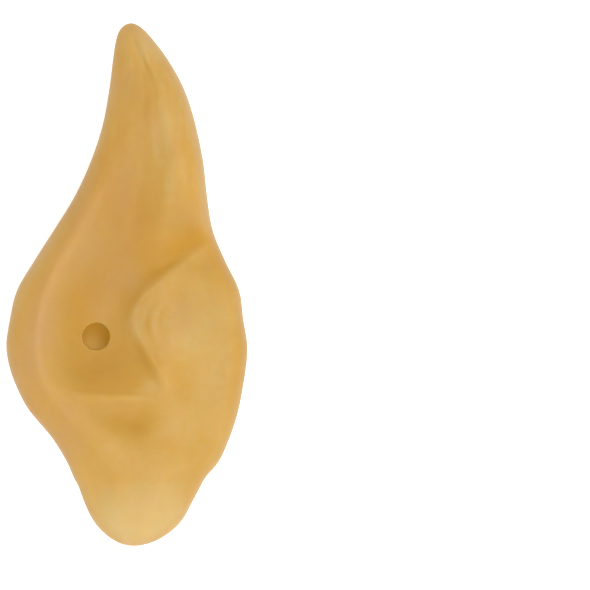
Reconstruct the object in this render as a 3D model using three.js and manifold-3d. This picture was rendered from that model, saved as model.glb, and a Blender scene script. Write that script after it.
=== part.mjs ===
// Pointed ear cover: a hollow, one-piece latex ear that slips over the wearer's own ear.
// It lies on its open back: +Y runs from the lobe to the horn's tip, +X points to the cheek, +Z up.

import * as THREE from 'three';
import { LoftGeometry } from 'three/addons/geometries/LoftGeometry.js';
import { mergeVertices } from 'three/addons/utils/BufferGeometryUtils.js';
import Module from 'manifold-3d';

// Driving dimensions, in millimetres
const LENGTH = 125; // lobe end to horn tip
const WIDTH = 57.5; // rear of the helix to the edge of the cheek flap
const DEPTH = 23; // flat rim at the back to the top of the helix
const WALL = 1.5; // latex thickness
const HEARING_HOLE_DIAMETER = 6.6;
const RIM_BAND = 3; // flat land round the opening at the back
const FRONT_ROLL = 6; // distance in from the outline at which the front is at full height, at the cheek
const REAR_ROLL_EXTRA = 1.5; // how much wider that roll is at the rear
const LATEX_COLOUR = 0xd2a358;

// Where the wearer's ear goes in: an oval in the back, as shares of WIDTH and LENGTH
const OPENING = { across: 0.59, up: 0.357, halfWidth: 0.36, halfHeight: 0.258 };

// The hearing hole's centre in the floor of the bowl, as shares of WIDTH and LENGTH
const HEARING_HOLE = { across: 0.375, up: 0.401 };

// The back leaves the flat rim and climbs towards the horn and the lobe
const BACK_CLIMB = 1.35; // share of DEPTH climbed in one LENGTH
const CLIMB_START = 2; // length over which the climb sets in, in millimetres
const EDGE_HEIGHT_IN_WALLS = 1.35; // height of the outline's lowest stretch, in wall thicknesses
const BACK_ROLL_SHARE = 0.65; // how far the back rolls in from the outline, per millimetre of drop
const BACK_ROLL_LEAST = 0.4;

// The hollow
const STEEPEST_WALL = 1.6; // most that a slope widens the wall's vertical measure
const LEAST_HOLLOW = 0.4; // air kept above and below the outline's height inside

// Sections across the ear, from the lobe's end to the horn's tip. up is a share of LENGTH, left and
// right are the outline as shares of WIDTH, and the rest are shares of DEPTH: how much the outline's
// edge rises on the left and right, then the front's height at the five places named in ACROSS.
const ACROSS = { helix: 0.08, bowl: 0.3, middle: 0.5, tragus: 0.7, flap: 0.92 };
const SECTION_COLUMNS = ['up', 'left', 'right', 'leftRise', 'rightRise', ...Object.keys(ACROSS)];
const SECTIONS = [
  [0.0, 0.527, 0.527, 0.13, 0.13, 0.35, 0.37, 0.37, 0.37, 0.35],
  [0.017, 0.423, 0.648, 0.13, 0.12, 0.41, 0.46, 0.48, 0.46, 0.39],
  [0.044, 0.365, 0.719, 0.14, 0.1, 0.46, 0.52, 0.54, 0.5, 0.41],
  [0.09, 0.315, 0.777, 0.15, 0.08, 0.5, 0.58, 0.59, 0.54, 0.41],
  [0.117, 0.294, 0.808, 0.17, 0.05, 0.52, 0.6, 0.6, 0.55, 0.4],
  [0.132, 0.277, 0.827, 0.19, 0.04, 0.53, 0.61, 0.61, 0.55, 0.4],
  [0.155, 0.256, 0.871, 0.22, 0.02, 0.55, 0.62, 0.61, 0.55, 0.39],
  [0.204, 0.194, 0.923, 0.28, 0.01, 0.59, 0.63, 0.58, 0.55, 0.38],
  [0.273, 0.077, 0.969, 0.37, 0.0, 0.71, 0.62, 0.56, 0.57, 0.39],
  [0.304, 0.044, 0.981, 0.39, 0.0, 0.755, 0.55, 0.49, 0.58, 0.39],
  [0.334, 0.019, 0.992, 0.41, 0.0, 0.78, 0.5, 0.46, 0.59, 0.39],
  [0.384, 0.0, 1.0, 0.43, 0.0, 0.81, 0.5, 0.44, 0.61, 0.4],
  [0.434, 0.015, 0.983, 0.46, 0.0, 0.825, 0.52, 0.44, 0.61, 0.39],
  [0.491, 0.046, 0.965, 0.48, 0.0, 0.85, 0.575, 0.47, 0.58, 0.38],
  [0.548, 0.119, 0.906, 0.5, 0.02, 0.87, 0.65, 0.54, 0.55, 0.41],
  [0.605, 0.198, 0.856, 0.51, 0.13, 0.88, 0.74, 0.64, 0.66, 0.59],
  [0.663, 0.277, 0.835, 0.52, 0.3, 0.89, 0.81, 0.755, 0.815, 0.85],
  [0.732, 0.348, 0.819, 0.52, 0.43, 0.905, 0.87, 0.86, 0.94, 0.975],
  [0.8, 0.398, 0.79, 0.52, 0.48, 0.92, 0.92, 0.93, 0.99, 1.0],
  [0.869, 0.427, 0.744, 0.53, 0.5, 0.91, 0.935, 0.95, 0.975, 0.965],
  [0.93, 0.444, 0.673, 0.54, 0.53, 0.885, 0.915, 0.92, 0.93, 0.92],
  [0.965, 0.456, 0.617, 0.56, 0.55, 0.85, 0.875, 0.88, 0.88, 0.87],
  [0.984, 0.469, 0.581, 0.56, 0.56, 0.825, 0.835, 0.835, 0.835, 0.825],
  [1.0, 0.519, 0.519, 0.56, 0.56, 0.78, 0.78, 0.78, 0.78, 0.78],
].map((row) => Object.fromEntries(SECTION_COLUMNS.map((name, i) => [name, row[i]])));

// Ridges (height above 0) and creases (below 0) of the front. line runs through shares of WIDTH and
// LENGTH. height is a share of DEPTH, and leftSpread and rightSpread are shares of WIDTH, to the left
// and right of the line as one walks it. inside is how much of it the hollow repeats, and startFade
// and endFade are the shares of the line over which it grows and dies away.
const FOLDS = [
  {
    name: 'tragusEdge',
    line: [
      [0.83, 0.595], [0.72, 0.55], [0.625, 0.52], [0.545, 0.47], [0.523, 0.43], [0.55, 0.385], [0.665, 0.29],
    ],
    height: 0.08, leftSpread: 0.105, rightSpread: 0.031, inside: 0.7, startFade: 0.4, endFade: 0.15,
  },
  {
    name: 'crusCrease',
    line: [[0.855, 0.605], [0.75, 0.57], [0.64, 0.53], [0.55, 0.49]],
    height: -0.06, leftSpread: 0.03, rightSpread: 0.078, inside: 0.7, startFade: 0.35, endFade: 0.35,
  },
  {
    name: 'notchCrease',
    line: [[0.5, 0.405], [0.54, 0.37], [0.59, 0.33], [0.65, 0.29]],
    height: -0.035, leftSpread: 0.028, rightSpread: 0.031, inside: 0.3, startFade: 0.35, endFade: 0.2,
  },
  {
    name: 'antitragus',
    line: [[0.14, 0.305], [0.285, 0.287], [0.43, 0.281], [0.6, 0.285], [0.69, 0.288]],
    height: 0.045, leftSpread: 0.03, rightSpread: 0.063, inside: 0.5, startFade: 0.5, endFade: 0.25,
  },
  {
    name: 'antitragusDent',
    line: [[0.305, 0.262], [0.425, 0.246], [0.53, 0.227], [0.64, 0.204]],
    height: -0.065, leftSpread: 0.073, rightSpread: 0.063, inside: 0.8, startFade: 0.6, endFade: 0.5,
  },
  {
    name: 'scaphaEdge',
    line: [[0.64, 0.88], [0.675, 0.76], [0.66, 0.68], [0.59, 0.605]],
    height: -0.022, leftSpread: 0.03, rightSpread: 0.07, inside: 0, startFade: 0.4, endFade: 0.4,
  },
  {
    name: 'helixRoll',
    line: [[0.705, 0.87], [0.75, 0.74], [0.73, 0.66], [0.63, 0.575]],
    height: 0.035, leftSpread: 0.061, rightSpread: 0.052, inside: 0.5, startFade: 0.5, endFade: 0.5,
  },
  {
    name: 'helixRear',
    line: [[0.43, 0.655], [0.295, 0.575], [0.16, 0.49], [0.1, 0.4], [0.085, 0.325]],
    height: 0.035, leftSpread: 0.07, rightSpread: 0.07, inside: 0.5, startFade: 0.4, endFade: 0.4,
  },
];

// How finely the faceted surfaces are divided
const OUTSIDE = { ribs: 88, frontSteps: 32, backSteps: 14 };
const INSIDE = { ribs: 50, frontSteps: 20, backSteps: 10 };
const LINE_STEPS = 6; // straight pieces between two points of a fold's line
const HOLE_SIDES = 28;
const OPENING_SIDES = 72;
const MIDDLE_GATHER = { ribs: 0.25, steps: 0.35 }; // how much closer the divisions lie at mid-length
const ANGLE_STEP = 1e-4; // for slopes of the outline, in radians
const SLOPE_STEP = 0.05; // for slopes of the front, in millimetres

/** Holds a number between two limits. */
const between = (low, value, high) => Math.min(high, Math.max(low, value));

/** Goes from 0 to 1 with no corner at either end. */
const easeIn = (share) => {
  const s = between(0, share, 1);
  return s * s * (3 - 2 * s);
};

/** A smooth curve through knots: a tangent is the mean of its two chords, and level at the ends if asked. */
function curveThrough(knots, values, levelEnds = false) {
  const last = knots.length - 1;
  const gap = knots.slice(1).map((knot, i) => knot - knots[i]);
  const chord = gap.map((width, i) => (values[i + 1] - values[i]) / width);
  const slope = knots.map((_, i) => {
    if (i === 0) return levelEnds ? 0 : chord[0];
    if (i === last) return levelEnds ? 0 : chord[last - 1];
    return (chord[i - 1] * gap[i] + chord[i] * gap[i - 1]) / (gap[i - 1] + gap[i]);
  });
  return (at) => {
    let i = 0;
    while (i < last - 1 && at > knots[i + 1]) i += 1;
    const s = (at - knots[i]) / gap[i];
    const start = values[i] * (1 + 2 * s) + slope[i] * gap[i] * s;
    const end = values[i + 1] * (3 - 2 * s) + slope[i + 1] * gap[i] * (s - 1);
    return start * (1 - s) ** 2 + end * s ** 2;
  };
}

const acrossAt = (share) => (share - 0.5) * WIDTH;
const upAt = (share) => (share - 0.5) * LENGTH;

// Every section stands at an angle: 0 at the lobe's end, PI at the horn's tip, so that both ends round off
const angleAtUp = (up) => Math.acos(between(-1, 1 - 2 * up, 1));
const sectionAngles = SECTIONS.map((row) => angleAtUp(row.up));

/** One closed curve round the outline: angles 0 to PI go up the right side, 0 to -PI up the left. */
function roundOutline(leftColumn, rightColumn) {
  const right = SECTIONS.map((row, i) => [sectionAngles[i], row[rightColumn]]);
  const left = SECTIONS.map((row, i) => [-sectionAngles[i], row[leftColumn]]).reverse().slice(0, -1);
  const turn = 2 * Math.PI;
  const loop = [...left, ...right];
  const before = loop.slice(-4, -1).map(([angle, value]) => [angle - turn, value]);
  const after = loop.slice(1, 4).map(([angle, value]) => [angle + turn, value]);
  const all = [...before, ...loop, ...after];
  return curveThrough(all.map(([angle]) => angle), all.map(([, value]) => value));
}
const outlineShare = roundOutline('left', 'right');
const outlineRise = roundOutline('leftRise', 'rightRise');

const outlineX = (angle) => acrossAt(outlineShare(angle));
const outlineY = (angle) => (-LENGTH / 2) * Math.cos(angle);
const outlineZ = (angle) => EDGE_HEIGHT_IN_WALLS * WALL + outlineRise(angle) * DEPTH;

/** The outline moved inwards by inset; slant turns a distance along X into one square to the outline. */
function insetOutline(angle, inset) {
  const tangent = new THREE.Vector2(
    outlineX(angle + ANGLE_STEP) - outlineX(angle - ANGLE_STEP),
    outlineY(angle + ANGLE_STEP) - outlineY(angle - ANGLE_STEP),
  ).normalize();
  return {
    x: outlineX(angle) - inset * tangent.y,
    y: outlineY(angle) + inset * tangent.x,
    slant: Math.abs(tangent.y),
  };
}

/** Where a point lies in its section: the section's angle, its share across and the edge's height there. */
function placeInSection(x, y) {
  const angle = Math.acos(between(-1, (-2 * y) / LENGTH, 1));
  const left = outlineX(-angle);
  const width = outlineX(angle) - left;
  const share = width > WALL / 10 ? between(0, (x - left) / width, 1) : 0.5;
  return { angle, share, edge: THREE.MathUtils.lerp(outlineZ(-angle), outlineZ(angle), share) };
}

const heightNames = Object.keys(ACROSS);
const heightCurves = heightNames.map((name) => curveThrough(sectionAngles, SECTIONS.map((row) => row[name])));
const heightPlaces = Object.values(ACROSS);

/** The front's broad form, without its folds. */
function broadHeight(angle, share) {
  const heights = heightCurves.map((curve) => curve(angle) * DEPTH);
  const within = between(heightPlaces[0], share, heightPlaces.at(-1));
  return curveThrough(heightPlaces, heights, true)(within);
}

/** A fold with its line worked out as straight pieces, each with its run from the line's start. */
function laidFold(fold) {
  const points = fold.line.map(([across, up]) => new THREE.Vector2(acrossAt(across), upAt(up)));
  const line = new THREE.SplineCurve(points).getPoints(LINE_STEPS * (points.length - 1));
  let run = 0;
  const pieces = line.slice(1).map((to, i) => {
    const piece = { from: line[i], along: to.clone().sub(line[i]), start: run };
    run += piece.along.length();
    return piece;
  });
  return { ...fold, pieces, run };
}
const laidFolds = FOLDS.map(laidFold);

/** A fold's height at a point: a bell across its line, with its own spread on each side. */
function foldHeight(fold, point) {
  let nearest = { gap: Infinity };
  for (const { from, along, start } of fold.pieces) {
    const off = point.clone().sub(from);
    const t = between(0, off.dot(along) / along.lengthSq(), 1);
    const aside = off.clone().addScaledVector(along, -t);
    const gap = aside.length();
    if (gap < nearest.gap) {
      const turn = gap > 0 ? along.cross(aside) / (along.length() * gap) : 0;
      nearest = { gap, turn, share: (start + t * along.length()) / fold.run };
    }
  }
  const spread = WIDTH * THREE.MathUtils.lerp(fold.rightSpread, fold.leftSpread, (1 + nearest.turn) / 2);
  const ends = easeIn(nearest.share / fold.startFade) * easeIn((1 - nearest.share) / fold.endFade);
  return fold.height * DEPTH * ends * Math.exp(-((nearest.gap / spread) ** 2));
}

/** The front's full height before it rolls down to the outline; the hollow repeats only part of each fold. */
function frontHeight(x, y, hollow) {
  const { angle, share } = placeInSection(x, y);
  const point = new THREE.Vector2(x, y);
  const folds = laidFolds.map((fold) => foldHeight(fold, point) * (hollow ? fold.inside : 1));
  return folds.reduce((sum, height) => sum + height, broadHeight(angle, share));
}

/** The hollow's ceiling: the front lowered so that the wall is WALL thick, square to its slope. */
function ceilingHeight(x, y) {
  const here = frontHeight(x, y, true);
  const slopeX = (frontHeight(x + SLOPE_STEP, y, true) - here) / SLOPE_STEP;
  const slopeY = (frontHeight(x, y + SLOPE_STEP, true) - here) / SLOPE_STEP;
  return here - WALL * Math.min(STEEPEST_WALL, Math.hypot(1, slopeX, slopeY));
}

/** The back's height before it rolls up to the outline: level on the rim, then climbing away from it. */
function backHeight(x, y) {
  const offX = x - acrossAt(OPENING.across);
  const offY = y - upAt(OPENING.up);
  const rings = Math.hypot(offX / (OPENING.halfWidth * WIDTH), offY / (OPENING.halfHeight * LENGTH));
  const outside = rings > 1 ? Math.hypot(offX, offY) * (1 - 1 / rings) - RIM_BAND : 0;
  const climb = Math.hypot(Math.max(0, outside), CLIMB_START) - CLIMB_START;
  return (BACK_CLIMB * DEPTH * climb) / LENGTH;
}

/** The share of its full height that a surface has reached at some distance in from the outline. */
function rolled(distance, roll) {
  const left = 1 - Math.min(1, distance / roll);
  return Math.sqrt(1 - left ** 3);
}

/** Divides 0 to 1 evenly at gather 0, and closer together at mid-length the nearer gather is to 1. */
const gathered = (share, gather) => share + (gather * Math.sin(2 * Math.PI * share)) / (2 * Math.PI);

/** Divides a span from 0 to 1, fine at both ends for the rolls and gathered in the middle for the folds. */
const acrossShare = (share) => (1 - Math.cos(Math.PI * gathered(share, MIDDLE_GATHER.steps))) / 2;

/** How far in from the outline a point lies, smoothly, between the two ends of its section. */
function distanceIn(x, left, right) {
  const fromLeft = (x - left.x) * left.slant;
  const fromRight = (right.x - x) * right.slant;
  return (fromLeft * fromRight) / Math.max(fromLeft + fromRight, Number.EPSILON);
}

/** A point of the front, or of the hollow's ceiling where inset is above 0. */
function frontPoint(left, right, share, inset) {
  const x = THREE.MathUtils.lerp(left.x, right.x, share);
  const y = THREE.MathUtils.lerp(left.y, right.y, share);
  const { edge } = placeInSection(x, y);
  const top = inset > 0 ? Math.max(ceilingHeight(x, y), edge + LEAST_HOLLOW) : frontHeight(x, y, false);
  const roll = FRONT_ROLL + REAR_ROLL_EXTRA * (1 - share) - inset;
  return new THREE.Vector3(x, y, edge + (top - edge) * rolled(distanceIn(x, left, right), roll));
}

/** A point of the back, or of the hollow's floor where inset is above 0. */
function backPoint(left, right, share, inset) {
  const x = THREE.MathUtils.lerp(left.x, right.x, share);
  const y = THREE.MathUtils.lerp(left.y, right.y, share);
  const { edge } = placeInSection(x, y);
  const back = backHeight(x, y);
  const bottom = inset > 0 ? Math.min(back + inset, edge - LEAST_HOLLOW) : back;
  const roll = BACK_ROLL_LEAST + BACK_ROLL_SHARE * (edge - bottom);
  return new THREE.Vector3(x, y, edge - (edge - bottom) * rolled(distanceIn(x, left, right), roll));
}

/** A closed solid inside the outline moved in by inset: rings that pass over the front and under the back. */
function earSolid({ ribs, frontSteps, backSteps }, inset) {
  const rings = Array.from({ length: ribs + 1 }, (_, rib) => {
    const angle = Math.PI * gathered(rib / ribs, MIDDLE_GATHER.ribs);
    const left = insetOutline(-angle, inset);
    const right = insetOutline(angle, inset);
    const front = Array.from({ length: frontSteps }, (_, i) => acrossShare(i / frontSteps));
    const back = Array.from({ length: backSteps }, (_, i) => acrossShare(1 - i / backSteps));
    return [
      ...front.map((share) => frontPoint(left, right, share, inset)),
      ...back.map((share) => backPoint(left, right, share, inset)),
    ];
  });
  return solidFrom(new LoftGeometry(rings));
}

const wasm = await Module();
wasm.setup();

/** A closed geometry as a solid, without the faces that shrink to nothing at a pole. */
function solidFrom(geometry) {
  const bare = new THREE.BufferGeometry();
  bare.setAttribute('position', geometry.getAttribute('position'));
  bare.setIndex(geometry.getIndex());
  const merged = mergeVertices(bare);
  const corners = merged.index.array;
  const kept = [];
  for (let i = 0; i < corners.length; i += 3) {
    const [a, b, c] = corners.subarray(i, i + 3);
    if (a !== b && b !== c && c !== a) kept.push(a, b, c);
  }
  const vertProperties = merged.attributes.position.array;
  const triVerts = new Uint32Array(kept);
  return new wasm.Manifold(new wasm.Mesh({ numProp: 3, vertProperties, triVerts }));
}

/** A solid back as a geometry with flat facets. */
function geometryFrom(solid) {
  const { vertProperties, triVerts } = solid.getMesh();
  const geometry = new THREE.BufferGeometry();
  geometry.setAttribute('position', new THREE.BufferAttribute(vertProperties, 3));
  geometry.setIndex(new THREE.BufferAttribute(triVerts, 1));
  const faceted = geometry.toNonIndexed();
  faceted.computeVertexNormals();
  return faceted;
}

/** The oval that is cut through the back, from below the rim up into the hollow. */
function openingCutter() {
  const oval = new THREE.Shape();
  const halfWidth = OPENING.halfWidth * WIDTH;
  const halfHeight = OPENING.halfHeight * LENGTH;
  oval.absellipse(acrossAt(OPENING.across), upAt(OPENING.up), halfWidth, halfHeight, 0, 2 * Math.PI);
  const reach = EDGE_HEIGHT_IN_WALLS * WALL;
  const cut = { depth: 2 * reach, bevelEnabled: false, curveSegments: OPENING_SIDES };
  return solidFrom(new THREE.ExtrudeGeometry(oval, cut).translate(0, 0, -reach));
}

/** The punch for the hearing hole, upright through the floor of the bowl. */
function hearingHoleCutter() {
  const radius = HEARING_HOLE_DIAMETER / 2;
  const punch = new THREE.CylinderGeometry(radius, radius, 2 * DEPTH, HOLE_SIDES).rotateX(Math.PI / 2);
  return solidFrom(punch.translate(acrossAt(HEARING_HOLE.across), upAt(HEARING_HOLE.up), 0));
}

/** The whole ear: one latex wall, hollow, open at the back and pierced in the bowl. */
function earShell() {
  const hollow = earSolid(INSIDE, WALL);
  const shell = earSolid(OUTSIDE, 0).subtract(hollow).subtract(openingCutter()).subtract(hearingHoleCutter());
  const latex = new THREE.MeshStandardMaterial({ color: LATEX_COLOUR, roughness: 0.5, metalness: 0 });
  const mesh = new THREE.Mesh(geometryFrom(shell), latex);
  mesh.name = 'ear_shell';
  return mesh;
}

const pointedEar = new THREE.Group();
pointedEar.add(earShell());

export default pointedEar;
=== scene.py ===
"""A pointed latex ear cover, unpainted and amber, lying on its open back on a pale table.

The ear is one thin skin. It is worked out here as a fine surface from nearly the same sections
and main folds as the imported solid, and then gets finer relief and the finish of poured latex.
"""

import logging
import math
from dataclasses import dataclass, field
from enum import Enum

import bpy
import numpy as np
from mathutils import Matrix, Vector


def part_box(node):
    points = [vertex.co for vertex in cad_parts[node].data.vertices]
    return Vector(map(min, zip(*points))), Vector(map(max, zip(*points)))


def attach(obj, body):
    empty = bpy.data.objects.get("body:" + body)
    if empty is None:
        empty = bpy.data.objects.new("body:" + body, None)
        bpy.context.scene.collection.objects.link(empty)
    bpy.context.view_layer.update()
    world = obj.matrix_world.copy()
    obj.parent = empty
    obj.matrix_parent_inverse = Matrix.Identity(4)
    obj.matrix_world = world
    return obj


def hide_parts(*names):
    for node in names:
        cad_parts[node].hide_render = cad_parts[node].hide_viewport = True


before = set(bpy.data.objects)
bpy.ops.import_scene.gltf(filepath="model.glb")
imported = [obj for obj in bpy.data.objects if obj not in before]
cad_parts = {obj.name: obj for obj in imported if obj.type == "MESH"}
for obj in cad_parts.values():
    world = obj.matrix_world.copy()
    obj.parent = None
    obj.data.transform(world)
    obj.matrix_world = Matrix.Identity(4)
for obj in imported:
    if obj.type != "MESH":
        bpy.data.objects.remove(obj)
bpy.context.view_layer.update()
LOG = logging.getLogger("ear")
MM = 1e-3
NODE = "ear_shell"

# Least values for a division or a root, so that none of them meets 0.
TINY = 1e-9
TINY_SQUARE = 1e-12
NARROWEST = 1e-6

# A Mix node's colour sockets share their names with its number sockets, so they go by their place.
MIX_FIRST = 6
MIX_SECOND = 7
MIX_RESULT = 2

# Sections across the ear, from the lobe's end to the horn's tip: up the length, the outline's left
# and right as shares of the width, then shares of the depth: how far the outline's edge rises on
# each side, and the front's height at the five places across that ACROSS names.
ACROSS = {"helix": 0.12, "bowl": 0.3, "middle": 0.5, "tragus": 0.7, "flap": 0.92}
SECTION_COLUMNS = ("up", "left", "right", "left_rise", "right_rise", *ACROSS)
SECTIONS = (
    (0.000, 0.527, 0.527, 0.13, 0.13, 0.35, 0.37, 0.37, 0.37, 0.35),
    (0.017, 0.423, 0.648, 0.13, 0.12, 0.41, 0.46, 0.48, 0.46, 0.39),
    (0.044, 0.365, 0.719, 0.14, 0.10, 0.46, 0.52, 0.54, 0.50, 0.41),
    (0.090, 0.315, 0.777, 0.15, 0.08, 0.50, 0.58, 0.59, 0.54, 0.41),
    (0.117, 0.294, 0.808, 0.17, 0.05, 0.52, 0.595, 0.59, 0.55, 0.40),
    (0.132, 0.277, 0.827, 0.19, 0.04, 0.53, 0.60, 0.59, 0.55, 0.40),
    (0.155, 0.256, 0.871, 0.22, 0.02, 0.55, 0.61, 0.59, 0.55, 0.39),
    (0.204, 0.194, 0.923, 0.28, 0.01, 0.59, 0.63, 0.58, 0.55, 0.38),
    (0.273, 0.077, 0.969, 0.37, 0.00, 0.71, 0.62, 0.56, 0.57, 0.39),
    (0.304, 0.044, 0.981, 0.39, 0.00, 0.755, 0.595, 0.55, 0.58, 0.39),
    (0.334, 0.019, 0.992, 0.41, 0.00, 0.78, 0.53, 0.505, 0.59, 0.39),
    (0.384, 0.000, 1.000, 0.43, 0.00, 0.81, 0.50, 0.455, 0.61, 0.40),
    (0.434, 0.015, 0.983, 0.46, 0.00, 0.825, 0.52, 0.44, 0.61, 0.39),
    (0.491, 0.046, 0.965, 0.48, 0.00, 0.85, 0.575, 0.47, 0.58, 0.38),
    (0.548, 0.119, 0.906, 0.50, 0.02, 0.87, 0.65, 0.54, 0.55, 0.41),
    (0.605, 0.198, 0.856, 0.51, 0.13, 0.88, 0.74, 0.64, 0.66, 0.59),
    (0.663, 0.277, 0.835, 0.52, 0.30, 0.89, 0.81, 0.755, 0.815, 0.85),
    (0.732, 0.348, 0.819, 0.52, 0.43, 0.905, 0.87, 0.86, 0.94, 0.975),
    (0.800, 0.398, 0.790, 0.52, 0.48, 0.92, 0.92, 0.93, 0.99, 1.00),
    (0.869, 0.427, 0.744, 0.53, 0.50, 0.91, 0.935, 0.95, 0.975, 0.965),
    (0.930, 0.444, 0.673, 0.54, 0.53, 0.885, 0.915, 0.92, 0.93, 0.92),
    (0.965, 0.456, 0.617, 0.56, 0.55, 0.85, 0.875, 0.88, 0.88, 0.87),
    (0.984, 0.469, 0.581, 0.56, 0.56, 0.825, 0.835, 0.835, 0.835, 0.825),
    (1.000, 0.519, 0.519, 0.56, 0.56, 0.78, 0.78, 0.78, 0.78, 0.78),
)


@dataclass(frozen=True)
class Stroke:
    """A soft line over the front, like one stroke of a modelling tool.

    The line runs through shares of the width and the length. The spreads are shares of the width, to
    the left and right of the line as one walks it, and the fades are shares of the line's own length.
    """

    name: str
    line: tuple[tuple[float, float], ...]
    left_spread: float
    right_spread: float
    start_fade: float
    end_fade: float


@dataclass(frozen=True)
class Fold(Stroke):
    """A ridge (height above 0) or a crease (below 0), as a share of the depth.

    Inside is the part of it that the hollow repeats.
    """

    height: float
    inside: float = 0.0


FOLDS = (
    Fold("tragus_edge",
         ((0.850, 0.586), (0.750, 0.540), (0.652, 0.506), (0.557, 0.466), (0.537, 0.43), (0.587, 0.382),
          (0.640, 0.342), (0.70, 0.29)),
         0.105, 0.034, 0.75, 0.15, height=0.064, inside=0.7),
    Fold("crus_crease", ((0.857, 0.600), (0.800, 0.578), (0.708, 0.547), (0.617, 0.515), (0.567, 0.495)),
         0.022, 0.048, 0.10, 0.50, height=-0.024, inside=0.7),
    Fold("notch_crease", ((0.525, 0.415), (0.549, 0.388), (0.586, 0.352), (0.625, 0.318), (0.645, 0.300)),
         0.020, 0.030, 0.45, 0.40, height=-0.012, inside=0.3),
    Fold("antitragus", ((0.14, 0.305), (0.285, 0.292), (0.43, 0.286), (0.6, 0.287), (0.69, 0.289)),
         0.028, 0.063, 0.50, 0.50, height=0.038, inside=0.5),
    Fold("antitragus_line", ((0.22, 0.302), (0.33, 0.298), (0.45, 0.295), (0.57, 0.292), (0.64, 0.290)),
         0.014, 0.014, 0.40, 0.20, height=-0.007),
    Fold("antitragus_dent", ((0.30, 0.273), (0.43, 0.258), (0.535, 0.238), (0.615, 0.216)),
         0.072, 0.062, 0.60, 0.30, height=-0.047, inside=0.8),
    Fold("scapha_edge", ((0.612, 0.867), (0.640, 0.80), (0.650, 0.72), (0.638, 0.66), (0.575, 0.60)),
         0.030, 0.055, 0.40, 0.40, height=-0.012),
    Fold("helix_roll", ((0.690, 0.87), (0.730, 0.74), (0.710, 0.66), (0.62, 0.580)),
         0.058, 0.060, 0.50, 0.50, height=0.024, inside=0.5),
    Fold("helix_rear", ((0.43, 0.655), (0.295, 0.575), (0.175, 0.49), (0.125, 0.4), (0.095, 0.325)),
         0.09, 0.10, 0.40, 0.40, height=0.030, inside=0.5),
    Fold("tragus_groove",
         ((0.640, 0.475), (0.602, 0.4565), (0.587, 0.434), (0.594, 0.409), (0.619, 0.386), (0.65, 0.37)),
         0.015, 0.015, 0.35, 0.35, height=-0.005),
    Fold("tragus_ridge", ((0.665, 0.470), (0.627, 0.454), (0.614, 0.430), (0.622, 0.405), (0.64, 0.39)),
         0.015, 0.015, 0.40, 0.40, height=0.004),
    Fold("tragus_ring", ((0.69, 0.466), (0.654, 0.449), (0.643, 0.430), (0.652, 0.409), (0.67, 0.40)),
         0.014, 0.014, 0.40, 0.40, height=-0.003),
    Fold("tragus_crown", ((0.655, 0.398), (0.71, 0.400), (0.78, 0.392)),
         0.040, 0.040, 0.30, 0.30, height=0.008),
    Fold("horn_groove",
         ((0.520, 0.985), (0.542, 0.965), (0.575, 0.930), (0.605, 0.900), (0.622, 0.875), (0.628, 0.855)),
         0.010, 0.011, 0.15, 0.60, height=-0.015),
)


class Skin(Enum):
    """Which side of the latex a point lies on."""

    OUTSIDE = "outside"
    HOLLOW = "hollow"


def ease(share: np.ndarray) -> np.ndarray:
    """Goes from 0 to 1 with no corner at either end: 3s^2 - 2s^3, held at 0 and 1 outside."""
    s = np.clip(share, 0.0, 1.0)
    return s * s * (3.0 - 2.0 * s)


def hermite(s: np.ndarray, start: np.ndarray, end: np.ndarray, leave: np.ndarray,
            arrive: np.ndarray) -> np.ndarray:
    """The cubic that leaves start with slope leave and reaches end with slope arrive.

    Args:
        s: Share of the stretch, 0 to 1.
        start: Value at 0.
        end: Value at 1.
        leave: Slope at 0 for the whole stretch.
        arrive: Slope at 1 for the whole stretch.

    Returns:
        start(1 + 2s)(1-s)^2 + leave s(1-s)^2 + end(3 - 2s)s^2 + arrive(s-1)s^2.
    """
    back = 1.0 - s
    return (start * (1.0 + 2.0 * s) + leave * s) * back**2 + (end * (3.0 - 2.0 * s) - arrive * back) * s**2


def chord_tangents(knots: np.ndarray, values: np.ndarray) -> np.ndarray:
    """Slope at each knot: the mean of the chords on its two sides, each weighted by the other's gap.

    Args:
        knots: Rising positions, N of them.
        values: N rows of values.

    Returns:
        N rows of slopes; the first and last are their one chord.
    """
    gap = np.diff(knots)[:, None]
    chord = np.diff(values, axis=0) / gap
    slope = np.empty_like(values)
    slope[1:-1] = (chord[:-1] * gap[1:] + chord[1:] * gap[:-1]) / (gap[:-1] + gap[1:])
    slope[0], slope[-1] = chord[0], chord[-1]
    return slope


def curve_at(knots: np.ndarray, values: np.ndarray, at: np.ndarray) -> np.ndarray:
    """Smooth curve through knots with one or more columns of values.

    Args:
        knots: Rising positions, N of them.
        values: N rows of values.
        at: Positions to read, of any shape.

    Returns:
        The values there, with the columns on the last axis.
    """
    slope = chord_tangents(knots, values)
    i = np.clip(np.searchsorted(knots, at) - 1, 0, len(knots) - 2)
    gap = (knots[i + 1] - knots[i])[..., None]
    s = ((at - knots[i]) / gap[..., 0])[..., None]
    return hermite(s, values[i], values[i + 1], slope[i] * gap, slope[i + 1] * gap)


def even_slopes(knots: np.ndarray) -> np.ndarray:
    """The matrix that turns values at the knots into slopes, for a curve whose bend has no jumps.

    At each inner knot a s[i-1] + 2(a + b) s[i] + b s[i+1] = 3(a (v[i]-v[i-1])/h[i-1] + b (v[i+1]-v[i])/h[i])
    with a = h[i] and b = h[i-1], the gaps after and before it. The curve is level at both ends.

    Args:
        knots: Rising positions, N of them.

    Returns:
        N rows of N factors.
    """
    gap = np.diff(knots)
    count = len(knots)
    left = np.eye(count)
    right = np.zeros((count, count))
    for i in range(1, count - 1):
        after, before = gap[i], gap[i - 1]
        left[i, i - 1:i + 2] = after, 2.0 * (after + before), before
        right[i, i - 1:i + 2] = (-3.0 * after / before, 3.0 * (after / before - before / after),
                                 3.0 * before / after)
    return np.linalg.solve(left, right)


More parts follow.
